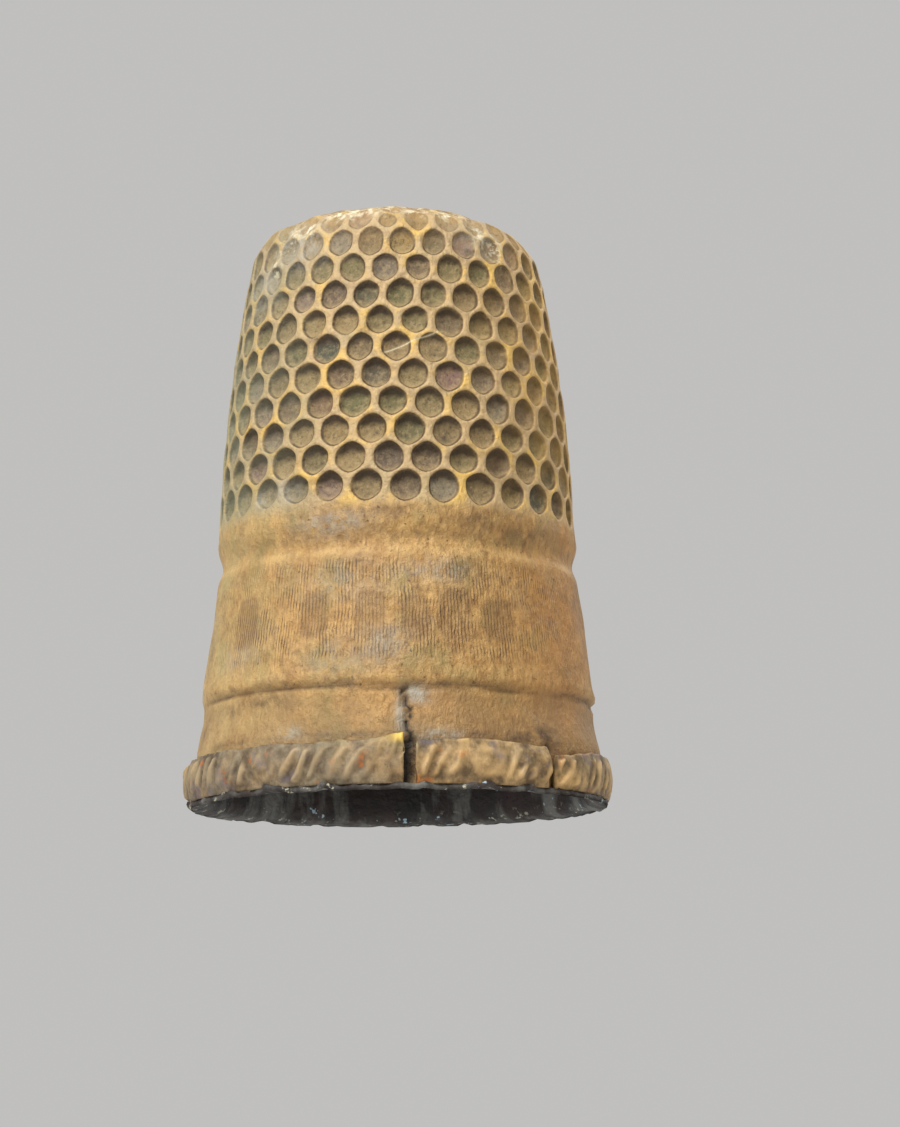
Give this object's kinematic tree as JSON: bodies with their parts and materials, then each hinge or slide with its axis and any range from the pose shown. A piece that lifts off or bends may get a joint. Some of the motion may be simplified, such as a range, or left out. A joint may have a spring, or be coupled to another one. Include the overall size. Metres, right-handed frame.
{
  "type": "thimble",
  "caption": "Lined sewing thimble: a knurled drawn-brass cup over a grey metal lining, with a broken ornamental band round its mouth.",
  "frame": {"origin": "centre of the mouth, on the surface that the mouth rests on", "axes": "+Z along the axis from the mouth to the crown; -Y towards the broken side of the rim band; +X to the right when that side is seen"},
  "size_m": [0.0162, 0.0162, 0.023],
  "materials": {
    "aged_brass": "aged brass with ochre patina, worn yellow ridges and dull grey patches",
    "grey_lining": "tarnished dark grey white-metal lining",
    "band_brass": "stamped brass band, worn and stained, with grey metal showing through"
  },
  "bodies": {
    "root": {"outer_shell": "aged_brass", "inner_liner": "grey_lining", "rim_band": "band_brass", "rim_band_fragment": "band_brass"}
  },
  "joints": []
}
